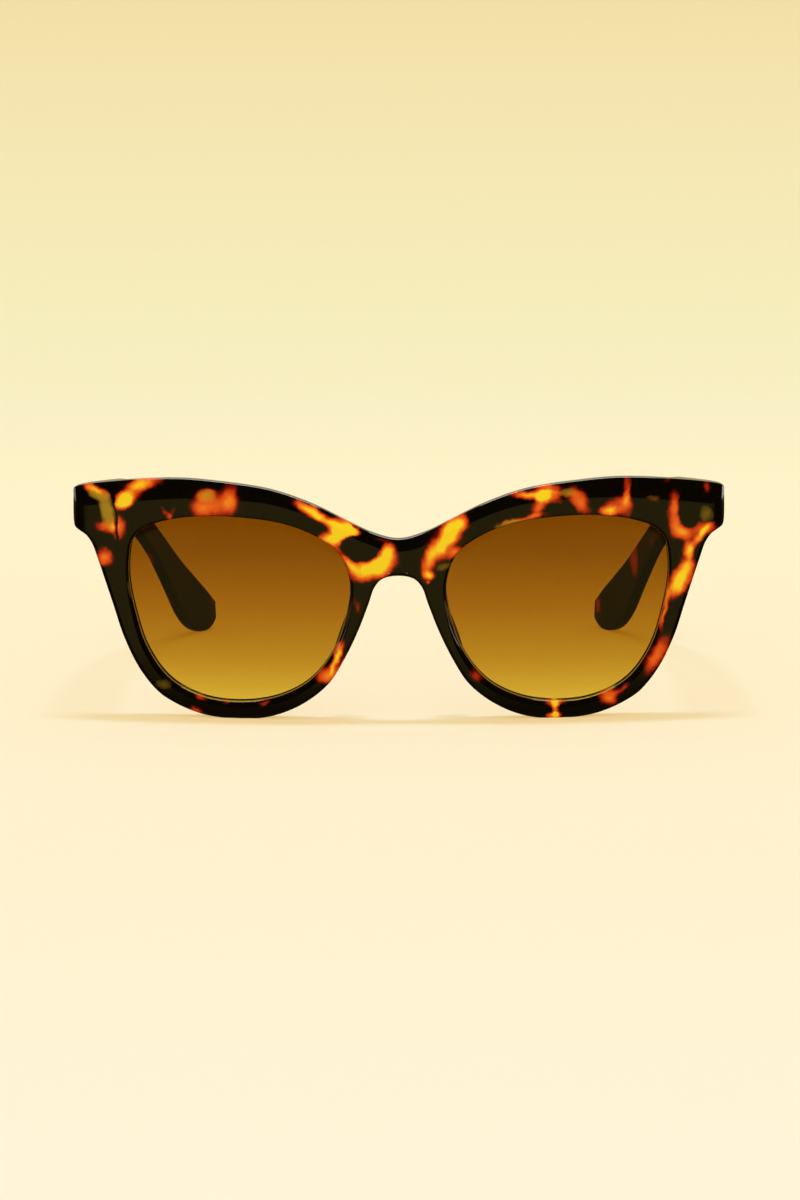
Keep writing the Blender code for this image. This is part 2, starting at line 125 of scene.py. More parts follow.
# ---- nose pads: middle line as (x, z), then rings as (y, half length, half width) ------------
PAD_LINE = [(8.9, 27.6), (9.4, 24.0), (10.6, 20.0), (12.3, 16.4), (14.2, 13.4)]
PAD_RINGS = [
    (4.1, 0.90, 1.2), (4.55, 0.92, 1.25), (5.6, 0.95, 1.5),
    (7.2, 0.78, 1.35), (8.6, 0.50, 0.85), (9.0, 0.30, 0.45),
]
PAD_SPLAY = 0.35

# ---- hinges ----------------------------------------------------------------------------------
PIN_X = 67.6
PIN_Y = 16.1
KNUCKLE_RADIUS = 1.35
KNUCKLE_LOW = (44.8, 46.8)
KNUCKLE_MIDDLE = (46.95, 49.05)
KNUCKLE_HIGH = (49.2, 51.2)
PIN_HOLE_RADIUS = 0.68
SCREW_RADIUS = 0.6
SCREW_HEAD_RADIUS = 1.25
SCREW_HEAD = (51.32, 51.95)
SCREW_FOOT = 44.85
SLOT_FLOOR = 51.62
SLOT_WIDTH = 0.4
WEB_INSET = 0.12
FRONT_PLATE = ((65.6, 13.75, 44.5), (69.0, 14.62, 51.3))
TEMPLE_PLATE = ((68.98, 15.0, 44.75), (70.0, 25.0, 50.8))
TEMPLE_WEB = (15.25, 17.3)

# ---- temples: stations along the arm as (x, y, z, thickness, height) --------------------------
TEMPLE_STATIONS = [
    (71.2, 14.65, 47.7, 4.2, 8.6), (71.2, 28.0, 46.2, 4.1, 8.2), (71.7, 47.0, 44.2, 3.8, 7.8),
    (71.6, 68.0, 41.7, 3.5, 7.4), (70.7, 87.0, 38.6, 3.3, 6.9), (69.2, 98.0, 35.3, 3.2, 6.8),
    (66.0, 111.5, 27.4, 3.1, 7.2), (62.4, 123.0, 17.6, 3.1, 9.8), (59.8, 130.5, 11.0, 3.1, 12.6),
    (57.7, 135.8, 6.9, 3.1, 12.8), (55.8, 139.8, 5.1, 2.9, 11.3), (54.3, 143.3, 4.8, 2.4, 8.4),
    (53.4, 145.5, 5.0, 1.7, 5.2),
]
TEMPLE_STEPS = 200
TEMPLE_EASING = 8
TIP_DOME = 0.27
TIP_END_WIDTH = 0.45
TIP_END_HEIGHT = 0.6
TEMPLE_CORNER = 0.55
CORE_CHANNEL = (1.44, 2.24)
CORE_LAST_SHARE = 0.76


# ---- curves ----------------------------------------------------------------------------------
def spline(points, closed=False, steps=16, before=None, after=None):
    """Centripetal Catmull-Rom curve; before and after only steer its ends."""
    rows = [np.array(p, float) for p in points]
    if closed:
        rows = [rows[-1]] + rows + [rows[0], rows[1]]
    else:
        first = np.array(before, float) if before else 2 * rows[0] - rows[1]
        last = np.array(after, float) if after else 2 * rows[-1] - rows[-2]
        rows = [first] + rows + [last]
    curve = []
    for p0, p1, p2, p3 in zip(rows, rows[1:], rows[2:], rows[3:]):
        t1 = np.linalg.norm(p1 - p0) ** 0.5
        t2 = t1 + np.linalg.norm(p2 - p1) ** 0.5
        t3 = t2 + np.linalg.norm(p3 - p2) ** 0.5
        for t in np.linspace(t1, t2, steps, endpoint=False):
            a1 = p0 * ((t1 - t) / t1) + p1 * (t / t1)
            a2 = p1 * ((t2 - t) / (t2 - t1)) + p2 * ((t - t1) / (t2 - t1))
            a3 = p2 * ((t3 - t) / (t3 - t2)) + p3 * ((t - t2) / (t3 - t2))
            b1 = a1 * ((t2 - t) / t2) + a2 * (t / t2)
            b2 = a2 * ((t3 - t) / (t3 - t1)) + a3 * ((t - t1) / (t3 - t1))
            curve.append(b1 * ((t2 - t) / (t2 - t1)) + b2 * ((t - t1) / (t2 - t1)))
    if not closed:
        curve.append(rows[-2])
    return np.array(curve)


def resample(curve, count, closed=False):
    """Rows evenly spaced along a polyline; a closed one doesn't repeat its first row."""
    line = np.vstack([curve, curve[:1]]) if closed else curve
    lengths = np.concatenate([[0], np.cumsum(np.linalg.norm(np.diff(line, axis=0), axis=1))])
    places = np.linspace(0, lengths[-1], count, endpoint=not closed)
    return np.array([np.interp(places, lengths, column) for column in line.T]).T


def smoothed(rows, reach):
    """Rows averaged with their neighbours; both ends stay where they are."""
    weights = np.hanning(2 * reach + 3)[1:-1]
    weights /= weights.sum()
    before = 2 * rows[0] - rows[reach:0:-1]
    after = 2 * rows[-1] - rows[-2:-reach - 2:-1]
    padded = np.vstack([before, rows, after])
    return np.array([np.convolve(column, weights, "valid") for column in padded.T]).T


def smoothstep(low, high, value):
    share = np.clip((value - low) / (high - low), 0, 1)
    return share * share * (3 - 2 * share)


def distance_to(line, points):
    """Shortest distance from flat points to an open polyline."""
    a, edge = line[:-1], np.diff(line, axis=0)
    gap = points[:, None, :] - a[None]
    share = np.clip((gap * edge).sum(2) / (edge * edge).sum(1), 0, 1)
    return np.linalg.norm(gap - share[..., None] * edge, axis=2).min(1)


def outward_normals(line, inside, closed=True):
    """Unit normals of a flat polyline that point away from a point inside it."""
    if closed:
        along = np.roll(line, -1, axis=0) - np.roll(line, 1, axis=0)
    else:
        along = np.gradient(line, axis=0)
    normal = np.stack([along[:, 1], -along[:, 0]], axis=1)
    normal /= np.linalg.norm(normal, axis=1)[:, None]
    flip = ((line - inside) * normal).sum(1) < 0
    normal[flip] *= -1
    return normal


def soft_ramp(u, rounding):
    """0 at u = 0 and 1 at u = 1, straight apart from a rounded start."""
    return (np.sqrt(u * u + rounding * rounding) - rounding) / (math.sqrt(1 + rounding * rounding) - rounding)


# ---- meshes ----------------------------------------------------------------------------------
def make_object(name, verts, faces, merge=0.0, lip=None):
    """Smooth-shaded object from millimetre points; lip is 1 at points on a thin edge, where a painted glint
    is coloured in, and 0 elsewhere.
    """
    shape = bmesh.new()
    layer = shape.verts.layers.float.new("lip") if lip is not None else None
    made = [shape.verts.new((x * MM, FRONT_PLANE + y * MM, z * MM)) for x, y, z in verts]
    if lip is not None:
        for vertex, share in zip(made, lip):
            vertex[layer] = share
    for face in faces:
        shape.faces.new([made[index] for index in face])
    if merge > 0:
        bmesh.ops.remove_doubles(shape, verts=shape.verts, dist=merge * MM)
        bmesh.ops.dissolve_degenerate(shape, edges=shape.edges, dist=merge * MM)
    bmesh.ops.recalc_face_normals(shape, faces=shape.faces)
    mesh = bpy.data.meshes.new(name)
    shape.to_mesh(mesh)
    shape.free()
    mesh.shade_smooth()
    item = bpy.data.objects.new(name, mesh)
    bpy.context.scene.collection.objects.link(item)
    return item


def loft_faces(rows, size, closed_path=False):
    faces = []
    for row in range(rows if closed_path else rows - 1):
        this, after = row * size, (row + 1) % rows * size
        for column in range(size):
            beside = (column + 1) % size
            faces.append((this + column, this + beside, after + beside, after + column))
    return faces


def weighted(item, weight=50):
    modifier = item.modifiers.new("even_normals", "WEIGHTED_NORMAL")
    modifier.keep_sharp = True
    modifier.weight = weight


def dress(item, material, body, slot, *nodes):
    item.data.materials.clear()
    item.data.materials.append(material)
    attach(item, body)
    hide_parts(*nodes)


# ---- front -----------------------------------------------------------------------------------
def bend(x):
    return x * x / (2 * BEND_RADIUS)


BROW_LINE = spline(BROW_EDGE, before=(-BROW_EDGE[1][0], BROW_EDGE[1][1]), after=END_FACE[0])
BAND_LINE = np.vstack([BROW_LINE, [(76.5, 51.6)]])
CREASE_ROUNDING = 0.10
END_ROLL_START = 70.3
END_ROLL_REACH = 3.2
END_ROLL = 0.9


def front_y(spots):
    """Front surface: the bend, with the brow falling back in a facet towards its top edge."""
    band = BROW_BAND_CENTRE + (BROW_BAND_END - BROW_BAND_CENTRE) * smoothstep(15, 60, spots[:, 0])
    share = np.clip(1 - distance_to(BAND_LINE, spots) / band, 0, 1)
    roll = np.maximum(0, (spots[:, 0] - END_ROLL_START) / END_ROLL_REACH) ** 2 * END_ROLL
    return bend(spots[:, 0]) + np.hypot(BROW_RECESS * soft_ramp(share, CREASE_ROUNDING), roll)


def rear_y(spots):
    """Rear surface: even thickness, built up to a flat block behind the end piece."""
    plain = bend(spots[:, 0]) + RIM_THICKNESS
    block = smoothstep(*END_BLOCK_X, spots[:, 0]) * smoothstep(*END_BLOCK_Z, spots[:, 1])
    return plain + (END_BLOCK_REAR - plain) * block


def bevel_width(rise):
    """Width of the bevel round the lens opening for the upward part of a ray's direction."""
    low = BEVEL_SIDE + (BEVEL_BOTTOM - BEVEL_SIDE) * np.minimum(1.0, -rise * 1.2)
    high = BEVEL_TOP + (BEVEL_SIDE - BEVEL_TOP) * (1 - smoothstep(0.0, 0.5, rise))
    return np.where(rise < 0, low, high)


def half_outline():
    """Outer edge of the half front with its outward normals, from the bridge over the brow and back."""
    brow = resample(BROW_LINE, BROW_STEPS)
    corner_line = [BROW_EDGE[-1]] + END_FACE + [RIM_EDGE[0]]
    corner = resample(spline(corner_line, before=BROW_EDGE[-2], after=RIM_EDGE[1]), END_STEPS)[1:-1]
    arch_guide = (-BRIDGE_ARCH[-2][0], BRIDGE_ARCH[-2][1])
    rim = resample(spline(RIM_EDGE + BRIDGE_ARCH, before=END_FACE[-1], after=arch_guide), RIM_STEPS)
    edge = np.vstack([brow, corner, rim])
    normal = outward_normals(edge, RAY_CENTRE, closed=False)
    normal[0] = (0, 1)
    normal[-1] = (0, -1)
    return edge, normal


def aperture_hits(points, loop):
    """Where rays from RAY_CENTRE to the points cross the lens opening."""
    angle = np.unwrap(np.arctan2(*(loop - RAY_CENTRE).T[::-1]))
    if angle[-1] < angle[0]:
        loop, angle = loop[::-1], angle[::-1]
    angle3 = np.concatenate([angle - 2 * math.pi, angle, angle + 2 * math.pi])
    loop3 = np.vstack([loop] * 3)
    normal3 = outward_normals(loop3, RAY_CENTRE, closed=False)
    normal3 = np.vstack([normal3[len(loop):2 * len(loop)]] * 3)
    wanted = np.arctan2(*(points - RAY_CENTRE).T[::-1])
    spot = np.array([np.interp(wanted, angle3, column) for column in loop3.T]).T
    normal = np.array([np.interp(wanted, angle3, column) for column in normal3.T]).T
    return spot, normal / np.linalg.norm(normal, axis=1)[:, None]


def edge_rounding(height):
    """Radius of the outer edge: small along the brow and fuller round the rims."""
    return EDGE_ROUND + (RIM_ROUND - EDGE_ROUND) * smoothstep(ROUND_BROW_Z, ROUND_RIM_Z, height)


def build_front_mesh():
    edge, normal = half_outline()
    low_z, high_z = edge[-1, 1], edge[0, 1]
    middle_z = np.linspace(low_z + edge_rounding(low_z), high_z - edge_rounding(high_z), MIDDLE_STEPS)
    middle = np.stack([np.zeros(MIDDLE_STEPS), middle_z], axis=1)
    points = np.vstack([edge, middle])
    normals = np.vstack([normal, np.tile((-1.0, 0.0), (MIDDLE_STEPS, 1))])
    rounding = np.concatenate([edge_rounding(edge[:, 1]), np.zeros(MIDDLE_STEPS)])[:, None]
    loop = resample(spline(APERTURE, closed=True), 720, closed=True)
    inner, inner_normal = aperture_hits(points, loop)
    direction = points - RAY_CENTRE
    direction /= np.linalg.norm(direction, axis=1)[:, None]
    bevel = bevel_width(direction[:, 1])[:, None]
    foot = inner + inner_normal * bevel
    crest = points - normals * rounding
    rows = []

    def row(spots, y):
        spots = spots.copy()
        spots[spots[:, 0] < 0.001, 0] = 0.0
        spots[:, 1] = np.maximum(spots[:, 1], 0.0)
        rows.append(np.stack([spots[:, 0], y, spots[:, 1]], axis=1))

    # bevel from the lens up to the face
    for t in (0.0, LIP_SHARE / 2, LIP_SHARE, 0.25, 0.4, 0.55, 0.7, 0.8, 0.9):
        spots = inner + inner_normal * bevel * t
        lift = soft_ramp(np.array(1 - t), 0.18)
        lip = LIP_DEPTH * max(0.0, 1 - t / LIP_SHARE)
        row(spots, front_y(spots) * (1 - lift) + (bend(spots[:, 0]) + BEVEL_DEPTH) * lift + lip)
    # face
    for t in np.linspace(0, 1, 22):
        spots = foot + (crest - foot) * t
        row(spots, front_y(spots))
    # rounded front edge, wall, rounded rear edge
    edge_front = front_y(points)
    edge_rear = rear_y(points)
    flat = rounding[:, 0]
    for angle in np.radians((22, 45, 68, 90)):
        row(points - normals * rounding * (1 - math.sin(angle)), edge_front + flat * (1 - math.cos(angle)))
    for t in (0.25, 0.5, 0.75):
        row(points, edge_front + flat + (edge_rear - edge_front - 2 * flat) * t)
    for angle in np.radians((90, 68, 45, 22, 0)):
        row(points - normals * rounding * (1 - math.sin(angle)), edge_rear - flat * (1 - math.cos(angle)))
    # rear face
    rear_inner = inner + inner_normal * EDGE_ROUND
    for t in np.linspace(0, 1, 20)[1:]:
        spots = crest + (rear_inner - crest) * t
        row(spots, rear_y(spots))
    # inner rear edge, inner wall and lens groove
    for angle in np.radians((30, 60, 90)):
        spots = inner + inner_normal * EDGE_ROUND * (1 - math.sin(angle))
        row(spots, rear_y(inner) - EDGE_ROUND * (1 - math.cos(angle)))
    base = bend(inner[:, 0])
    row(inner, base + GROOVE_END)
    row(inner + inner_normal * GROOVE_DEPTH, base + GROOVE_BACK)
    row(inner + inner_normal * GROOVE_DEPTH, base + GROOVE_FRONT)
    row(inner, base + BEVEL_DEPTH + LIP_DEPTH + 0.15)

    sections = np.stack(rows, axis=1)
    count, size = sections.shape[:2]
    # the first rows by the lens carry the mask for the painted glint on the thin lip
    lip = np.tile(np.arange(size) < LIP_ROWS, count)
    half = sections.reshape(-1, 3)
    faces = [f for f in loft_faces(count, size, True) if any(half[i][0] > 0 for i in f)]
    other = half * (-1, 1, 1)
    shift = len(half)
    faces += [tuple(i + shift for i in reversed(f)) for f in faces]
    painted_glint_mask = np.concatenate([lip, lip]).astype(float)
    return make_object("front", np.vstack([half, other]), faces, 0.002, painted_glint_mask)


# ---- lenses ----------------------------------------------------------------------------------
def build_lens(word, side):
    edge = resample(spline(APERTURE, closed=True), LENS_STEPS, closed=True)
    normal = outward_normals(edge, LENS_CENTRE)

    def ring(scale, offset, depth, crown=True):
        spots = LENS_CENTRE + (edge + normal * offset - LENS_CENTRE) * scale
        rise = LENS_CROWN * (1 - scale * scale) if crown else 0
        return np.stack([side * spots[:, 0], bend(spots[:, 0]) + depth - rise, spots[:, 1]], axis=1)

    scales = np.linspace(0, 1, 16)[1:]
    rings = [ring(scale, -0.12, LENS_FRONT) for scale in scales]
    rings.append(ring(1.0, 0.0, LENS_FRONT + 0.16))
    middle = LENS_FRONT + LENS_THICKNESS / 2
    rings.append(ring(1.0, LENS_TONGUE, middle - 0.12))
    rings.append(ring(1.0, LENS_TONGUE, middle + 0.12))
    rings.append(ring(1.0, 0.0, LENS_FRONT + LENS_THICKNESS - 0.16))
    rings += [ring(scale, -0.12, LENS_FRONT + LENS_THICKNESS) for scale in reversed(scales)]
    verts = np.vstack(rings)
    faces = loft_faces(len(rings), LENS_STEPS)
    for start, depth in ((0, LENS_FRONT), (len(verts) - LENS_STEPS, LENS_FRONT + LENS_THICKNESS)):
        centre = (side * LENS_CENTRE[0], bend(LENS_CENTRE[0]) + depth - LENS_CROWN, LENS_CENTRE[1])
        verts = np.vstack([verts, centre])
        hub = len(verts) - 1
        faces += [(start + i, start + (i + 1) % LENS_STEPS, hub) for i in range(LENS_STEPS)]
    lens = make_object("lens_" + word + "_tinted", verts, faces)
    weighted(lens)
    return lens


# ---- nose pads -------------------------------------------------------------------------------
def build_pad(word, side):
    line = resample(spline(PAD_LINE), 60)
    along = np.gradient(line, axis=0)
    along /= np.linalg.norm(along, axis=1)[:, None]
    profile = resample(spline(PAD_RINGS), 20)
    sides = 56
    verts = []
    for y, half_length, half_width in profile:
        angle = np.linspace(0, 2 * math.pi, sides, endpoint=False)
        place = (0.5 + 0.5 * half_length * np.cos(angle)) * (len(line) - 1)
        index = np.arange(len(line))
        spot = np.array([np.interp(place, index, column) for column in line.T]).T
        ahead = np.array([np.interp(place, index, column) for column in along.T]).T
        spot += np.stack([-ahead[:, 1], ahead[:, 0]], axis=1) * (half_width * np.sin(angle))[:, None]
        shift = PAD_SPLAY * (y - PAD_RINGS[1][0])
        verts += [(side * (x + shift), y, z) for x, z in spot]
    faces = loft_faces(len(profile), sides)
    faces.append(tuple(range(sides)))
    faces.append(tuple(range(len(verts) - sides, len(verts))))
    return make_object("pad_" + word + "_acetate", verts, faces)


# ---- hinges ----------------------------------------------------------------------------------
def box(name, low, high, side):
    xs, ys, zs = zip(low, high)
    corners = [(side * x, y, z) for x in xs for y in ys for z in zs]
    faces = [(0, 1, 3, 2), (4, 6, 7, 5), (0, 4, 5, 1), (2, 3, 7, 6), (0, 2, 6, 4), (1, 5, 7, 3)]
    return make_object(name, corners, faces)


def lathe(name, profile, centre, side, sides=48):
    """Closed solid turned about an upright line; the profile is (radius, height) from end to end."""
    verts = []
    for radius, height in profile:
        for step in range(sides):
            angle = 2 * math.pi * step / sides
            x = side * (centre[0] + radius * math.cos(angle))
            verts.append((x, centre[1] + radius * math.sin(angle), height))
    faces = loft_faces(len(profile), sides)
    faces.append(tuple(range(sides)))
    faces.append(tuple(range(len(verts) - sides, len(verts))))
    return make_object(name, verts, faces)


def rod(name, radius, span, side, centre=(PIN_X, PIN_Y)):
    return lathe(name, [(radius, span[0]), (radius, span[1])], centre, side)


def rivet(name, radius, spot, reach, side, axis):
    """Short rod with a domed end, along x or y, for the plates' rivet heads."""
    sides = 32
    dome = [(1.0, 0.0), (1.0, 0.55), (0.93, 0.78), (0.76, 0.93), (0.45, 1.0)]
    verts = []
    for share, height in dome:
        for step in range(sides):
            angle = 2 * math.pi * step / sides
            flat = radius * share * math.cos(angle), radius * share * math.sin(angle)
            if axis == "y":
                point = (spot[0] + flat[0], spot[1] + reach * height, spot[2] + flat[1])
            else:
                point = (spot[0] + reach * height, spot[1] + flat[0], spot[2] + flat[1])
            verts.append((side * point[0], point[1], point[2]))
    faces = loft_faces(len(dome), sides)
    faces.append(tuple(range(sides)))
    faces.append(tuple(range(len(verts) - sides, len(verts))))
    return make_object(name, verts, faces)


def combine(target, tool, operation):
    modifier = target.modifiers.new(operation.lower() + tool.name, "BOOLEAN")
    modifier.operation = operation
    modifier.solver = "EXACT"
    modifier.object = tool
    bpy.context.view_layer.update()
    evaluated = target.evaluated_get(bpy.context.evaluated_depsgraph_get())
    mesh = bpy.data.meshes.new_from_object(evaluated)
    target.modifiers.clear()
    target.data = mesh
    bpy.data.objects.remove(tool, do_unlink=True)


def soften(item, width, segments=3, angle=35):
    modifier = item.modifiers.new("soft_edges", "BEVEL")
    modifier.width = width * MM
    modifier.segments = segments
    modifier.limit_method = "ANGLE"
    modifier.angle_limit = math.radians(angle)
    modifier.harden_normals = True


def build_front_leaf(word, side):
    leaf = box("hinge_front_" + word, *FRONT_PLATE, side)
    web = KNUCKLE_RADIUS - WEB_INSET
    for span in (KNUCKLE_LOW, KNUCKLE_HIGH):
        combine(leaf, box("web", (PIN_X - web, 14.0, span[0]), (PIN_X + web, PIN_Y, span[1]), side), "UNION")
        combine(leaf, rod("barrel", KNUCKLE_RADIUS, span, side), "UNION")
    combine(leaf, rod("hole", PIN_HOLE_RADIUS, (43, 53), side), "DIFFERENCE")
    soften(leaf, 0.13)
    return leaf


def build_temple_leaf(word, side):
    leaf = box("hinge_temple_" + word, *TEMPLE_PLATE, side)
    low = (PIN_X, TEMPLE_WEB[0], KNUCKLE_MIDDLE[0])
    combine(leaf, box("web", low, (69.6, TEMPLE_WEB[1], KNUCKLE_MIDDLE[1]), side), "UNION")
    combine(leaf, rod("barrel", KNUCKLE_RADIUS, KNUCKLE_MIDDLE, side), "UNION")
    combine(leaf, rod("hole", PIN_HOLE_RADIUS, (43, 53), side), "DIFFERENCE")
    for y in (19.6, 22.9):
        combine(leaf, rivet("rivet", 0.8, (69.1, y, 47.8), -0.36, side, "x"), "UNION")
    soften(leaf, 0.13)
    return leaf


def build_screw(word, side):
    head = SCREW_HEAD_RADIUS
    profile = [
        (SCREW_RADIUS * 0.8, SCREW_FOOT), (SCREW_RADIUS, SCREW_FOOT + 0.12), (SCREW_RADIUS, SCREW_HEAD[0]),
        (head * 0.96, SCREW_HEAD[0] + 0.01), (head, SCREW_HEAD[0] + 0.1), (head, SCREW_HEAD[0] + 0.3),
        (head * 0.93, SCREW_HEAD[0] + 0.43), (head * 0.74, SCREW_HEAD[0] + 0.55),
        (head * 0.4, SCREW_HEAD[1] - 0.01),
    ]
    screw = lathe("screw_" + word, profile, (PIN_X, PIN_Y), side)
    low = (PIN_X - 2 * head, PIN_Y - SLOT_WIDTH / 2, SLOT_FLOOR)
    high = (PIN_X + 2 * head, PIN_Y + SLOT_WIDTH / 2, SCREW_HEAD[1] + SLOT_WIDTH)
    combine(screw, box("slot", low, high, side), "DIFFERENCE")
    soften(screw, 0.04, 2, 50)
    return screw


# ---- temples ---------------------------------------------------------------------------------
def rounded_ring(station, frame_of, side, thickness, height, corner, steps=8):
    sideways, upward = frame_of
    ring = []
    for turn, (across, rise) in enumerate(((1, 1), (-1, 1), (-1, -1), (1, -1))):
        for step in range(steps):
            angle = math.radians(90 * turn + 90 * step / (steps - 1))
            out = across * (thickness / 2 - corner) + corner * math.cos(angle)
            lift = rise * (height / 2 - corner) + corner * math.sin(angle)
            spot = station[:3] + sideways * out + upward * lift
            ring.append((side * spot[0], spot[1], max(0.0, spot[2])))
    return ring


def build_temple(word, side):
    stations = smoothed(resample(spline(TEMPLE_STATIONS), TEMPLE_STEPS), TEMPLE_EASING)
    tangent = np.gradient(stations[:, :3], axis=0)
    tangent[0] = (0, 1, 0)
    tangent /= np.linalg.norm(tangent, axis=1)[:, None]
    frames = []
    for t in tangent:
        sideways = np.array((t[1], -t[0], 0.0))
        sideways /= np.linalg.norm(sideways)
        upward = np.cross(sideways, t)
        frames.append((sideways, upward / np.linalg.norm(upward)))
    last = int(TEMPLE_STEPS * CORE_LAST_SHARE)
    rings = [rounded_ring(stations[i], frames[i], side, *CORE_CHANNEL, 0.35) for i in range(last, -1, -12)]
    if last % 12:
        rings.append(rounded_ring(stations[0], frames[0], side, *CORE_CHANNEL, 0.35))
    soft = EDGE_ROUND
    for angle in np.radians((0, 22, 45, 68)):
        inset = soft * (1 - math.sin(angle))
        station = stations[0].copy()
        station[1] += soft * (1 - math.cos(angle))
        thickness, height = station[3] - 2 * inset, station[4] - 2 * inset
        corner = TEMPLE_CORNER * station[3] / 2 - inset * 0.6
        rings.append(rounded_ring(station, frames[0], side, thickness, height, corner))
    for station, frame_of in zip(stations, frames):
        if station[1] < stations[0][1] + soft:
            continue
        corner = TEMPLE_CORNER * station[3] / 2
        rings.append(rounded_ring(station, frame_of, side, station[3], station[4], corner))
    tip, frame_of = stations[-1], frames[-1]
    for angle in np.radians((30, 60, 85)):
        shrink = math.cos(angle)
        station = tip.copy()
        station[1] += TIP_DOME * math.sin(angle)
        narrow = TIP_END_WIDTH + (1 - TIP_END_WIDTH) * shrink
        height = tip[4] * (TIP_END_HEIGHT + (1 - TIP_END_HEIGHT) * shrink)
        corner = TEMPLE_CORNER * tip[3] / 2 * narrow
        rings.append(rounded_ring(station, frame_of, side, tip[3] * narrow, height, corner))
    size = len(rings[0])
    verts = [p for ring in rings for p in ring]
    faces = loft_faces(len(rings), size)
    faces.append(tuple(range(size)))
    faces.append(tuple(range(len(verts) - size, len(verts))))
    temple = make_object("arm_" + word, verts, faces, merge=0.0005)
    weighted(temple)
    return temple


# ---- materials -------------------------------------------------------------------------------
class Graph:
    """Short way to add and join shader nodes."""

    def __init__(self, name):
        self.material = bpy.data.materials.new(name)
        self.material.use_nodes = True
        self.tree = self.material.node_tree
        self.tree.nodes.clear()
        self.out = self.tree.nodes.new("ShaderNodeOutputMaterial")

    def plug(self, socket, value):
        if isinstance(value, bpy.types.NodeSocket):
            self.tree.links.new(value, socket)
        elif value is not None:
            socket.default_value = value

    def node(self, kind, *inputs, **settings):
        made = self.tree.nodes.new("ShaderNode" + kind)
        for key, value in settings.items():
            setattr(made, key, value)
        for index, value in enumerate(inputs):
            self.plug(made.inputs[index], value)
        return made

    def math(self, operation, *inputs, clamp=False):
        return self.node("Math", *inputs, operation=operation, use_clamp=clamp).outputs[0]

    def vector(self, operation, *inputs):
        made = self.node("VectorMath", operation=operation)
        for index, value in enumerate(inputs):
            self.plug(made.inputs[index], value)
        return made.outputs["Value" if operation in ("DOT_PRODUCT", "LENGTH") else "Vector"]

    def noise(self, vector, scale, detail=2.0, roughness=0.5, distortion=0.0):
        made = self.tree.nodes.new("ShaderNodeTexNoise")
        self.plug(made.inputs["Vector"], vector)
        settings = {"Scale": scale, "Detail": detail, "Roughness": roughness, "Distortion": distortion}
        for key, value in settings.items():
            made.inputs[key].default_value = value
        return made

    def ramp(self, factor, stops, interpolation="LINEAR"):
        made = self.tree.nodes.new("ShaderNodeValToRGB")
        band = made.color_ramp
        band.interpolation = interpolation
        while len(band.elements) < len(stops):
            band.elements.new(0.5)
        for element, (place, colour) in zip(band.elements, sorted(stops)):
            element.position = place
        for element, (place, colour) in zip(band.elements, sorted(stops)):
            element.color = (*colour, 1) if len(colour) == 3 else colour
        self.plug(made.inputs[0], factor)
        return made.outputs[0]

    def mix(self, factor, a, b, blend="MIX"):
        made = self.tree.nodes.new("ShaderNodeMix")
        made.data_type = "RGBA"
        made.blend_type = blend
        self.plug(made.inputs[0], factor)
        self.plug(made.inputs[6], a)
        self.plug(made.inputs[7], b)
        return made.outputs[2]


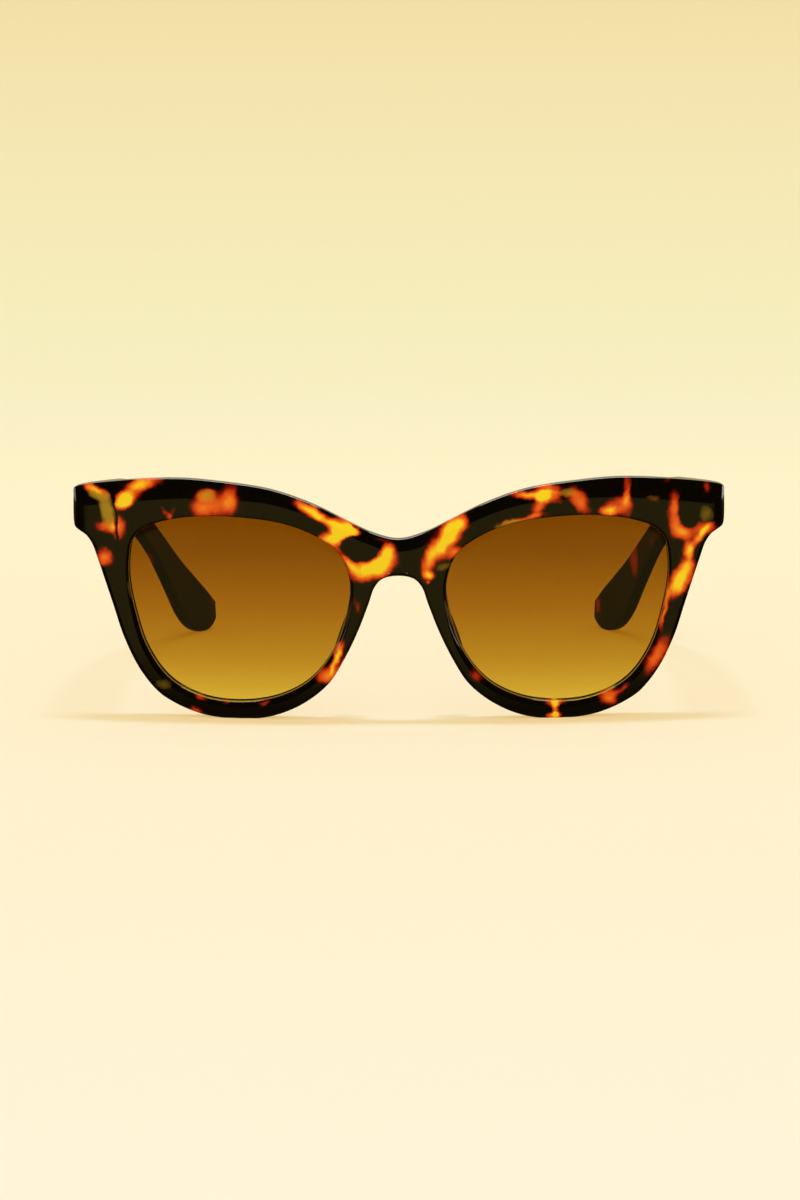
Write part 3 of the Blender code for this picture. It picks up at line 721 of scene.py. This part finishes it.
# warm patches of the acetate on the front: x, z, half width, half height, turn in degrees, warmth
PATCHES = [
    (-69.3, 51.6, 1.6, 0.8, -25, 0.85), (-66.6, 50.4, 1.5, 0.9, -35, 0.7), (-66.2, 43.3, 1.8, 1.1, 0, 0.6),
    (-63.2, 43.0, 1.4, 2.0, 10, 0.72), (-61.9, 49.0, 1.8, 1.4, 25, 1.1), (-59.3, 51.0, 2.6, 1.4, 40, 0.6),
    (-56.6, 53.2, 3.2, 1.1, 12, 0.64), (-66.4, 36.1, 1.5, 1.6, 0, 0.72), (-52.0, 46.3, 0.5, 1.6, 32, 0.36),
    (-50.7, 46.3, 0.5, 1.3, -30, 0.3),
    (-41.0, 48.3, 3.8, 2.3, 0, 0.62), (-37.3, 50.4, 1.3, 2.8, 0, 0.42), (-44.5, 47.2, 1.7, 1.5, 0, 0.3),
    (-43.3, 50.5, 1.5, 0.9, 10, 0.42),
    (-20.0, 47.4, 2.6, 0.9, -28, 0.95), (-16.2, 45.2, 2.2, 0.9, -30, 0.66), (-12.3, 43.4, 2.4, 1.4, -20, 1.0),
    (-8.5, 41.9, 2.6, 0.7, -25, 0.6), (-4.8, 40.9, 1.6, 0.4, -10, 0.4), (-14.4, 41.2, 3.2, 1.2, 18, 1.05),
    (-12.6, 38.3, 1.3, 2.2, 32, 0.75), (-10.9, 35.6, 0.8, 1.8, 30, 0.55),
    (-6.9, 33.9, 3.0, 1.9, 5, 1.1), (-3.0, 36.2, 2.0, 2.2, 0, 0.9), (-1.9, 38.2, 1.4, 1.5, 0, 0.5),
    (-9.4, 26.0, 0.5, 1.6, 20, 0.24), (-8.4, 26.2, 0.5, 1.2, -30, 0.2),
    (-13.8, 14.3, 0.6, 2.6, -20, 1.0), (-16.0, 10.2, 1.9, 1.3, 20, 0.74), (-12.5, 13.3, 0.4, 2.6, -28, 0.45),
    (-45.8, 1.8, 1.2, 0.6, -25, 0.5), (-44.9, 4.8, 1.2, 0.5, -25, 0.5), (-38.9, 3.8, 0.8, 0.4, 0, 0.35),
    (-30.2, 3.6, 1.1, 0.4, 8, 0.4),
    (10.6, 40.6, 2.3, 4.8, -33, 0.55), (11.9, 42.2, 1.4, 3.0, -33, 0.75), (8.6, 38.3, 1.4, 1.6, -20, 0.45),
    (6.5, 35.0, 1.1, 2.6, -10, 0.62), (6.9, 32.6, 1.1, 0.7, 0, 0.6), (13.2, 37.8, 1.8, 0.9, 25, 0.6),
    (14.6, 44.2, 1.2, 1.3, 0, 0.35), (6.6, 31.0, 0.4, 0.4, 0, 0.45),
    (31.0, 50.4, 4.4, 0.7, 0, 0.95), (33.2, 52.0, 2.6, 0.8, -5, 0.62), (31.5, 48.3, 1.1, 2.2, -30, 0.7),
    (34.3, 49.2, 2.2, 0.6, -5, 0.4), (40.5, 49.0, 1.3, 2.6, 35, 0.7), (27.5, 45.0, 4.5, 0.5, 12, 0.5),
    (47.3, 46.5, 1.9, 0.8, 0, 0.62), (48.3, 48.0, 2.2, 1.3, 20, 0.52), (51.2, 52.9, 0.7, 2.2, 0, 0.38),
    (51.0, 50.0, 0.6, 1.8, 0, 0.25), (51.1, 47.6, 1.1, 2.0, 0, 0.5), (56.9, 49.2, 1.6, 0.7, 0, 0.26),
    (60.2, 53.0, 1.0, 0.7, 0, 0.22), (69.6, 51.5, 0.7, 1.1, 0, 0.42),
    (62.0, 46.8, 1.2, 2.8, 0, 0.68), (63.0, 42.2, 1.8, 1.6, 0, 0.6), (65.5, 40.9, 2.2, 1.3, 0, 0.5),
    (69.3, 42.4, 1.9, 1.2, -10, 0.66), (67.9, 40.2, 0.6, 2.4, -38, 0.6), (65.4, 37.6, 1.0, 1.3, 0, 0.85),
    (64.9, 35.0, 1.2, 1.3, 0, 0.4), (63.6, 30.8, 1.6, 3.4, -32, 1.15), (59.9, 23.6, 0.45, 3.4, -13, 0.75),
    (58.3, 13.7, 1.4, 3.8, -28, 0.66), (47.4, 4.7, 1.6, 1.4, 0, 0.72), (50.6, 6.6, 1.6, 0.5, 35, 0.42),
    (35.2, 3.5, 1.6, 0.6, 0, 0.75), (35.2, 2.0, 0.6, 1.8, 0, 0.75), (34.9, 0.6, 1.3, 0.5, 0, 0.8),
    (17.4, 10.1, 1.2, 1.3, 35, 0.42),
]
ARM_PATCHES = [
    (72.0, 17.0, 49.0, 4.0, 3.5, 3.0, 0.95), (71.0, 25.0, 43.5, 4.0, 5.5, 2.2, 0.7),
    (72.5, 36.0, 48.5, 3.5, 6.5, 2.0, 0.75), (71.0, 47.0, 42.5, 4.0, 4.0, 2.4, 1.1),
    (74.0, 58.0, 45.0, 2.4, 7.0, 1.8, 0.7), (71.0, 66.0, 40.0, 3.0, 4.0, 1.6, 0.6),
    (73.5, 79.0, 41.0, 2.4, 4.5, 2.0, 1.05), (69.0, 98.0, 37.0, 3.0, 7.0, 2.0, 0.5),
    (71.0, 92.0, 35.5, 2.0, 5.0, 1.8, 0.7), (67.5, 110.0, 29.0, 2.2, 4.5, 3.0, 0.8),
    (61.9, 120.0, 21.0, 1.9, 3.2, 4.6, 0.62), (61.0, 134.0, 7.5, 1.6, 5.0, 3.0, 0.9),
    (53.0, 143.0, 7.5, 1.6, 3.5, 4.0, 0.5),
    (-71.0, 19.0, 44.5, 4.0, 5.0, 2.0, 0.7), (-72.5, 29.0, 49.0, 3.5, 4.0, 2.2, 1.0),
    (-71.0, 41.0, 44.5, 4.0, 6.5, 1.8, 0.68), (-74.0, 52.0, 46.5, 2.6, 4.5, 1.8, 0.75),
    (-71.5, 60.0, 40.5, 3.6, 4.5, 1.9, 1.0), (-74.0, 71.0, 43.5, 2.6, 5.5, 1.6, 0.7),
    (-73.0, 86.0, 37.5, 2.4, 5.5, 2.0, 0.75), (-71.0, 100.0, 34.5, 2.2, 4.0, 2.2, 1.0),
    (-67.5, 113.0, 25.0, 2.0, 4.0, 3.4, 0.7), (-63.5, 127.0, 12.0, 2.0, 4.5, 3.2, 0.85),
    (-60.0, 138.0, 9.0, 2.0, 3.0, 3.6, 0.6), (-53.2, 142.5, 9.0, 1.0, 2.0, 3.0, 0.35),
    (-69.0, 76.0, 41.5, 1.6, 5.5, 1.8, 0.75), (-67.5, 93.0, 36.0, 1.6, 3.5, 2.0, 0.6),
    (69.0, 75.0, 39.5, 1.6, 4.5, 1.7, 0.7),
]
OLIVE_PATCHES = [
    (-65.7, 47.0, 1.2, 3.0, 8, 1.0), (-68.4, 50.2, 1.6, 0.7, -25, 0.7), (-42.8, 50.3, 1.8, 1.1, 0, 0.6),
    (-53.2, 7.6, 2.0, 1.2, -20, 0.35), (10.3, 34.6, 1.8, 0.8, 20, 0.4), (38.0, 50.8, 1.7, 0.8, 0, 0.6),
    (25.5, 44.2, 3.0, 0.5, 14, 0.8), (69.3, 45.6, 1.4, 1.7, 0, 0.42), (57.0, 49.2, 2.2, 0.9, 0, 0.28),
]
DARK_PATCHES = [
    (-8.6, 39.0, 2.8, 2.0, 0, 1.0), (65.2, 46.4, 1.4, 2.4, 0, 0.8), (-64.0, 47.0, 0.35, 4.5, 6, 0.5),
]
WARMTH = [
    (0.0, (0.0025, 0.0017, 0.0006)), (0.15, (0.007, 0.002, 0.0006)), (0.27, (0.09, 0.004, 0.001)),
    (0.41, (0.40, 0.022, 0.003)), (0.55, (0.70, 0.075, 0.007)), (0.69, (0.85, 0.15, 0.013)),
    (0.82, (0.92, 0.35, 0.015)), (0.92, (0.94, 0.54, 0.016)), (1.0, (0.97, 0.70, 0.02)),
]
OLIVE = (0.42, 0.25, 0.018)
PATCH_GROWTH = 1.27
PATCH_FADE = 0.36
# painted highlight: a pale colour put on the thin lip round the lens opening, standing in for light caught in
# the acetate edge
PAINTED_EDGE_GLINT = (0.36, 0.24, 0.08)
ACETATE_IOR = 1.49
ACETATE_WAVINESS = 0.00006
COATING_IOR = 1.45
COATING_ROUGHNESS = 0.02
TINT_SPAN_Z = (3.0, 46.0)
METAL_BRUSHING = 0.00003


def finish_acetate(g, colour, fine):
    """Polished acetate: slightly uneven gloss and the faint waviness left by tumbling."""
    shader = g.node("BsdfPrincipled")
    g.plug(shader.inputs["Base Color"], colour)
    gloss = g.noise(fine, 0.9, 4.0, 0.6).outputs["Fac"]
    g.plug(shader.inputs["Roughness"], g.node("MapRange", gloss, 0.3, 0.7, 0.05, 0.11).outputs[0])
    shader.inputs["IOR"].default_value = ACETATE_IOR
    bump = g.tree.nodes.new("ShaderNodeBump")
    bump.inputs["Strength"].default_value = 0.12
    bump.inputs["Distance"].default_value = ACETATE_WAVINESS
    g.plug(bump.inputs["Height"], g.noise(fine, 0.22, 1.0, 0.4).outputs["Fac"])
    g.plug(shader.inputs["Normal"], bump.outputs[0])
    g.plug(g.out.inputs["Surface"], shader.outputs[0])


def in_millimetres(g):
    """Object coordinates in millimetres."""
    place = g.tree.nodes.new("ShaderNodeTexCoord").outputs["Object"]
    return scaled(g, place, 1000.0)


def scaled(g, vector, factor):
    made = g.tree.nodes.new("ShaderNodeVectorMath")
    made.operation = "SCALE"
    g.plug(made.inputs[0], vector)
    g.plug(made.inputs["Scale"], factor)
    return made.outputs[0]


def shifted(g, vector, wave, amount):
    """The vector moved about by a noise colour, centred on nothing."""
    centred = g.vector("SUBTRACT", wave.outputs["Color"], (0.5, 0.5, 0.5))
    return g.vector("ADD", vector, scaled(g, centred, amount))


def fade_out(g, spread):
    """One in the middle of a patch, falling smoothly to nothing where spread reaches 1 / PATCH_FADE."""
    rest = g.math("MAXIMUM", 0.0, g.math("MULTIPLY_ADD", spread, -PATCH_FADE, 1.0))
    return g.math("MULTIPLY", rest, rest)


def patch_form(patch):
    """Factors of (xx, xz, zz) and (x, z, 1) whose sum is 1 in the patch's middle and falls outwards."""
    x, z, a, b, turn, _ = patch
    c, s = math.cos(math.radians(turn)), math.sin(math.radians(turn))
    along, across = PATCH_FADE / (a * PATCH_GROWTH) ** 2, PATCH_FADE / (b * PATCH_GROWTH) ** 2
    xx = along * c * c + across * s * s
    xz = 2 * (along - across) * c * s
    zz = along * s * s + across * c * c
    middle = 1 - xx * x * x - xz * x * z - zz * z * z
    return (-xx, -xz, -zz), (2 * xx * x + xz * z, 2 * zz * z + xz * x, middle)


def front_acetate():
    g = Graph("tortoise_acetate_front")
    place = in_millimetres(g)
    split = g.node("SeparateXYZ", place)
    bow = g.math("DIVIDE", g.math("MULTIPLY", split.outputs["X"], split.outputs["X"]), 2 * BEND_RADIUS)
    behind = g.math("SUBTRACT", g.math("SUBTRACT", split.outputs["Y"], FRONT_PLANE / MM), bow)
    depth = g.node("MapRange", behind, 2.0, 12.0, 0.0, 9.0).outputs[0]
    warped = shifted(g, place, g.noise(place, 0.12, 1.0), depth)
    warped = shifted(g, warped, g.noise(place, 0.3, 1.0), 1.3)
    warped = shifted(g, warped, g.noise(place, 0.8, 2.0), 0.7)
    flat = g.node("SeparateXYZ", warped)
    x, z = flat.outputs["X"], flat.outputs["Z"]
    products = [g.math("MULTIPLY", *pair) for pair in ((x, x), (x, z), (z, z))]
    squares = g.node("CombineXYZ", *products)
    line = g.node("CombineXYZ", x, z, 1.0)

    def gather(patches, total=0.0, share=1.0):
        for patch in patches:
            curved, straight = patch_form(patch)
            curved = g.vector("DOT_PRODUCT", squares.outputs[0], curved)
            straight = g.vector("DOT_PRODUCT", line.outputs[0], straight)
            rest = g.math("MAXIMUM", 0.0, g.math("ADD", curved, straight))
            total = g.math("MULTIPLY_ADD", g.math("MULTIPLY", rest, rest), patch[5] * share, total)
        return total

    warmth = gather(DARK_PATCHES, gather(PATCHES), -2.0)
    grain = g.noise(place, 0.75, 3.0, 0.6).outputs["Fac"]
    warmth = g.math("MULTIPLY_ADD", g.math("SUBTRACT", grain, 0.5), 0.2, warmth)
    colour = g.ramp(warmth, WARMTH)
    olive = g.node("MapRange", gather(OLIVE_PATCHES), 0.2, 0.75, 0.0, 0.85).outputs[0]
    colour = g.mix(olive, colour, (*OLIVE, 1))
    # painted highlight: where the lip attribute marks the thin edge round the lens opening, the base colour
    # turns pale as if that edge caught light
    lip = g.node("Attribute")
    lip.attribute_name = "lip"
    colour = g.mix(g.math("MULTIPLY", lip.outputs["Fac"], 0.8), colour, (*PAINTED_EDGE_GLINT, 1))
    finish_acetate(g, colour, place)
    return g.material


def arm_acetate():
    g = Graph("tortoise_acetate_arms")
    place = in_millimetres(g)
    warped = shifted(g, place, g.noise(place, 0.14, 1.0), 3.5)
    warped = shifted(g, warped, g.noise(place, 0.5, 2.0), 1.6)
    warmth = 0.0
    for x, y, z, a, b, c, level in ARM_PATCHES:
        made = g.node("Mapping", vector_type="TEXTURE")
        g.plug(made.inputs["Vector"], warped)
        made.inputs["Location"].default_value = (x, y + FRONT_PLANE / MM, z)
        made.inputs["Scale"].default_value = (a, b, c)
        spread = g.vector("DOT_PRODUCT", made.outputs[0], made.outputs[0])
        warmth = g.math("MULTIPLY_ADD", fade_out(g, spread), level, warmth)
    grain = g.noise(place, 0.75, 3.0, 0.6).outputs["Fac"]
    warmth = g.math("MULTIPLY_ADD", g.math("SUBTRACT", grain, 0.5), 0.15, warmth)
    finish_acetate(g, g.ramp(warmth, WARMTH), place)
    return g.material


def lens_tint():
    g = Graph("brown_gradient_lens")
    split = g.node("SeparateXYZ", in_millimetres(g))
    share = g.node("MapRange", split.outputs["Z"], *TINT_SPAN_Z, 0.0, 1.0).outputs[0]
    tint = g.ramp(share, [
        (0.0, (0.865, 0.745, 0.28)), (0.1, (0.79, 0.65, 0.215)), (0.24, (0.706, 0.532, 0.155)),
        (0.5, (0.60, 0.39, 0.089)), (0.8, (0.476, 0.278, 0.04)), (1.0, (0.445, 0.25, 0.03)),
    ])
    clear = g.node("BsdfTransparent", tint).outputs[0]
    coating = g.node("BsdfAnisotropic", (0.93, 0.95, 1.0, 1.0))
    coating.inputs["Roughness"].default_value = COATING_ROUGHNESS
    outside = g.math("SUBTRACT", 1.0, g.tree.nodes.new("ShaderNodeNewGeometry").outputs["Backfacing"])
    share = g.math("MULTIPLY", g.node("Fresnel", COATING_IOR).outputs[0], outside)
    mixed = g.node("MixShader", share, clear, coating.outputs[0])
    g.plug(g.out.inputs["Surface"], mixed.outputs[0])
    return g.material


def metal(name, colour, worn, roughness):
    """Drawn and tumbled metal: fine brushing, darker film in patches and paler rubbed spots."""
    g = Graph(name)
    place = in_millimetres(g)
    film = g.noise(place, 0.6, 4.0, 0.65).outputs["Fac"]
    base = g.mix(g.node("MapRange", film, 0.35, 0.7, 0.0, 1.0).outputs[0], (*colour, 1), (*worn, 1))
    shader = g.node("BsdfPrincipled")
    g.plug(shader.inputs["Base Color"], base)
    shader.inputs["Metallic"].default_value = 1.0
    stretched = g.node("Mapping", vector_type="POINT")
    g.plug(stretched.inputs["Vector"], place)
    stretched.inputs["Scale"].default_value = (6.0, 0.8, 6.0)
    brushed = g.noise(stretched.outputs[0], 1.2, 3.0, 0.6).outputs["Fac"]
    uneven = g.node("MapRange", brushed, 0.3, 0.7, roughness - 0.06, roughness + 0.1).outputs[0]
    g.plug(shader.inputs["Roughness"], uneven)
    bump = g.tree.nodes.new("ShaderNodeBump")
    bump.inputs["Strength"].default_value = 0.25
    bump.inputs["Distance"].default_value = METAL_BRUSHING
    g.plug(bump.inputs["Height"], brushed)
    g.plug(shader.inputs["Normal"], bump.outputs[0])
    g.plug(g.out.inputs["Surface"], shader.outputs[0])
    return g.material


# ---- stage -----------------------------------------------------------------------------------
FLOOR_REACH = 1.15
WALL_REACH = 1.9
WALL_TOP = 1.7
LIGHT_AIM = (0, 0, 0.03)
FILL_STRENGTH = 0.6
LENS_LENGTH = 80.64
SENSOR_WIDTH = 36.0
CAMERA_DISTANCE = 0.600
CAMERA_PITCH = math.radians(7.7)
CAMERA_TURN = math.radians(0.7)
CAMERA_ROLL = math.radians(-0.25)
AIM_ASIDE = 0.0004
AIM_RISE = 0.0001


def stage_material():
    g = Graph("studio_paper")
    spot = g.tree.nodes.new("ShaderNodeNewGeometry").outputs["Position"]
    split = g.node("SeparateXYZ", spot)
    # paper colour with painted light falloff: it changes with height and with distance back, and ends darker
    # and warmer towards the top of the far wall
    height = g.node("MapRange", split.outputs["Z"], 0.0, 0.35, 0.0, 0.5).outputs[0]
    away = g.node("MapRange", split.outputs["Y"], -0.4, 1.2, 0.0, 0.5).outputs[0]
    paper = g.ramp(g.math("ADD", height, away), [
        (0.0, (1.0, 0.94, 0.75)), (0.06, (0.99, 0.90, 0.642)), (0.16, (0.995, 0.892, 0.60)),
        (0.33, (0.992, 0.945, 0.652)), (0.47, (0.991, 0.99, 0.749)), (0.57, (0.973, 0.98, 0.69)),
        (0.70, (0.965, 0.946, 0.644)), (0.83, (0.955, 0.905, 0.602)), (0.95, (0.93, 0.86, 0.528)),
        (1.0, (0.90, 0.85, 0.51)),
    ])
    # half of the paper's brightness is a painted glow (emission), yellower than the diffuse half so that the
    # real shadows on the paper turn yellow
    matt = g.node("BsdfDiffuse", g.mix(1.0, paper, (0.5, 0.8, 1.4, 1), "MULTIPLY"))
    glow = g.node("Emission", g.mix(1.0, paper, (1.44, 1.04, 0.524, 1), "MULTIPLY"), 1.0)
    seen = g.node("MixShader", 0.5, matt.outputs[0], glow.outputs[0])
    # painted reflection: glossy rays see a set colour here, not the paper. It is dim olive for the floor well
    # in front, near-black close to the frame, on the side walls and higher up (painted shade in the
    # reflections), and paler behind.
    behind = g.node("MapRange", split.outputs["Y"], -0.05, 0.5, 0.0, 1.0).outputs[0]
    low = g.node("MapRange", split.outputs["Z"], 0.03, 0.16, 1.0, 0.0).outputs[0]
    ahead = g.node("MapRange", split.outputs["Y"], -0.17, -0.085, 1.0, 0.12).outputs[0]
    across = g.math("ABSOLUTE", split.outputs["X"])
    aside = g.math("DIVIDE", across, g.math("MAXIMUM", 0.02, g.math("ABSOLUTE", split.outputs["Y"])))
    middle = g.node("MapRange", aside, 0.7, 1.2, 1.0, 0.0).outputs[0]
    share = g.math("MULTIPLY", g.math("MULTIPLY", low, ahead), middle)
    painted_reflection = g.mix(share, (0.004, 0.003, 0.001, 1), (0.34, 0.27, 0.07, 1))
    painted_reflection = g.mix(behind, painted_reflection, (0.55, 0.47, 0.28, 1))
    reflected = g.node("Emission", painted_reflection, 1.0)
    path = g.tree.nodes.new("ShaderNodeLightPath")
    both = g.node("MixShader", path.outputs["Is Glossy Ray"], seen.outputs[0], reflected.outputs[0])
    g.plug(g.out.inputs["Surface"], both.outputs[0])
    return g.material


def build_stage():
    """Round sweep of paper: a floor that curves up into a wall on all sides."""
    curve = WALL_REACH - FLOOR_REACH
    profile = [(r, 0.0) for r in np.linspace(0.0, FLOOR_REACH, 12)[1:]]
    for angle in np.radians(np.linspace(0, 90, 24))[1:]:
        profile.append((FLOOR_REACH + curve * math.sin(angle), curve * (1 - math.cos(angle))))
    profile.append((WALL_REACH, WALL_TOP))
    sides = 128
    verts = [(0.0, 0.0, 0.0)]
    for radius, height in profile:
        for step in range(sides):
            angle = 2 * math.pi * step / sides
            verts.append((radius * math.cos(angle), radius * math.sin(angle), height))
    faces = [(0, 1 + step, 1 + (step + 1) % sides) for step in range(sides)]
    faces += [tuple(i + 1 for i in reversed(f)) for f in loft_faces(len(profile), sides)]
    mesh = bpy.data.meshes.new("studio_sweep")
    mesh.from_pydata(verts, [], faces)
    mesh.shade_smooth()
    sweep = bpy.data.objects.new("studio_sweep", mesh)
    mesh.materials.append(stage_material())
    bpy.context.scene.collection.objects.link(sweep)


def area_light(name, place, aim, size, watts):
    data = bpy.data.lights.new(name, "AREA")
    data.shape = "RECTANGLE"
    data.size, data.size_y = size
    data.energy = watts
    lamp = bpy.data.objects.new(name, data)
    lamp.location = place
    lamp.rotation_mode = "QUATERNION"
    lamp.rotation_quaternion = (Vector(aim) - Vector(place)).to_track_quat("-Z", "Y")
    lamp.visible_camera = False
    lamp.visible_glossy = False
    bpy.context.scene.collection.objects.link(lamp)


def glossy_card(name, place, aim, size, strength):
    """Bright card that only shows as a reflection in polished surfaces."""
    g = Graph(name)
    g.plug(g.out.inputs["Surface"], g.node("Emission", (1.0, 0.98, 0.93, 1), strength).outputs[0])
    width, height = size[0] / 2, size[1] / 2
    mesh = bpy.data.meshes.new(name)
    corners = [(-width, -height, 0), (width, -height, 0), (width, height, 0), (-width, height, 0)]
    mesh.from_pydata(corners, [], [(0, 1, 2, 3)])
    mesh.materials.append(g.material)
    card = bpy.data.objects.new(name, mesh)
    card.location = place
    card.rotation_mode = "QUATERNION"
    card.rotation_quaternion = (Vector(aim) - Vector(place)).to_track_quat("-Z", "Y")
    card.visible_camera = card.visible_diffuse = card.visible_shadow = card.visible_transmission = False
    bpy.context.scene.collection.objects.link(card)


def build_lights():
    world = bpy.data.worlds.new("studio")
    bpy.context.scene.world = world
    world.use_nodes = True
    tree = world.node_tree
    tree.nodes.clear()
    fill = tree.nodes.new("ShaderNodeBackground")
    fill.inputs["Color"].default_value = (1.0, 0.99, 0.97, 1)
    fill.inputs["Strength"].default_value = FILL_STRENGTH
    dark = tree.nodes.new("ShaderNodeBackground")
    dark.inputs["Color"].default_value = (0.01, 0.01, 0.01, 1)
    path = tree.nodes.new("ShaderNodeLightPath")
    mixed = tree.nodes.new("ShaderNodeMixShader")
    out = tree.nodes.new("ShaderNodeOutputWorld")
    tree.links.new(path.outputs["Is Glossy Ray"], mixed.inputs[0])
    tree.links.new(fill.outputs[0], mixed.inputs[1])
    tree.links.new(dark.outputs[0], mixed.inputs[2])
    tree.links.new(mixed.outputs[0], out.inputs["Surface"])
    area_light("overhead_box", (0.0, 0.1, 1.5), LIGHT_AIM, (1.6, 1.2), 1.0)
    area_light("overhead_spot", (0.0, 0.12, 1.4), LIGHT_AIM, (0.5, 0.12), 9.5)
    area_light("front_fill", (0.0, -1.9, 0.45), LIGHT_AIM, (1.4, 0.8), 6.0)
    glossy_card("overhead_card", (0.0, 0.15, 1.3), LIGHT_AIM, (1.0, 0.5), 18.0)
    glossy_card("right_card", (1.2, 0.15, 0.22), LIGHT_AIM, (0.3, 0.4), 5.0)
    glossy_card("left_card", (-1.2, 0.15, 0.22), LIGHT_AIM, (0.3, 0.4), 2.5)


def build_camera():
    data = bpy.data.cameras.new("camera")
    data.lens = LENS_LENGTH
    data.sensor_width = SENSOR_WIDTH
    data.sensor_fit = "AUTO"
    camera = bpy.data.objects.new("camera", data)
    bpy.context.scene.collection.objects.link(camera)
    low, high = cad_box
    aim = Vector((AIM_ASIDE, low.y, (low.z + high.z) / 2 + AIM_RISE))
    level = math.cos(CAMERA_PITCH)
    aside, ahead = math.sin(CAMERA_TURN) * level, -math.cos(CAMERA_TURN) * level
    back = Vector((aside, ahead, math.sin(CAMERA_PITCH)))
    camera.location = aim + back * CAMERA_DISTANCE
    look = (-back).to_track_quat("-Z", "Y")
    roll = Matrix.Rotation(CAMERA_ROLL, 4, "Z").to_quaternion()
    camera.rotation_mode = "QUATERNION"
    camera.rotation_quaternion = look @ roll
    data.clip_start, data.clip_end = 0.01, 20.0
    bpy.context.scene.camera = camera


# ---- assembly --------------------------------------------------------------------------------
def main():
    front_look = front_acetate()
    arm_look = arm_acetate()
    lens_look = lens_tint()
    brass = metal("hinge_brass_worn", (0.80, 0.58, 0.25), (0.52, 0.36, 0.15), 0.22)
    steel = metal("screw_steel_worn", (0.72, 0.71, 0.69), (0.42, 0.41, 0.40), 0.2)
    wire = metal("core_wire_drawn", (0.66, 0.63, 0.56), (0.45, 0.42, 0.37), 0.3)

    front = build_front_mesh()
    weighted(front)
    dress(front, front_look, "front", "tortoise_acetate", "frame_front")
    for side, word in SIDES:
        dress(build_lens(word, side), lens_look, "front", "brown_gradient_lens", "lens_" + word)
        dress(build_pad(word, side), front_look, "front", "tortoise_acetate", "nose_pad_" + word)
        dress(build_front_leaf(word, side), brass, "front", "hinge_brass", "front_hinge_leaf_" + word)
        dress(build_screw(word, side), steel, "front", "screw_steel", "hinge_screw_" + word)
        arm = "temple_" + word
        dress(build_temple(word, side), arm_look, arm, "tortoise_acetate", arm)
        dress(build_temple_leaf(word, side), brass, arm, "hinge_brass", "temple_hinge_leaf_" + word)
        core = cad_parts["temple_core_" + word]
        for place in core.material_slots:
            place.material = wire
    build_stage()
    build_lights()
    build_camera()
    bpy.context.scene.view_settings.view_transform = "Standard"
    bpy.context.scene.view_settings.look = "None"


main()
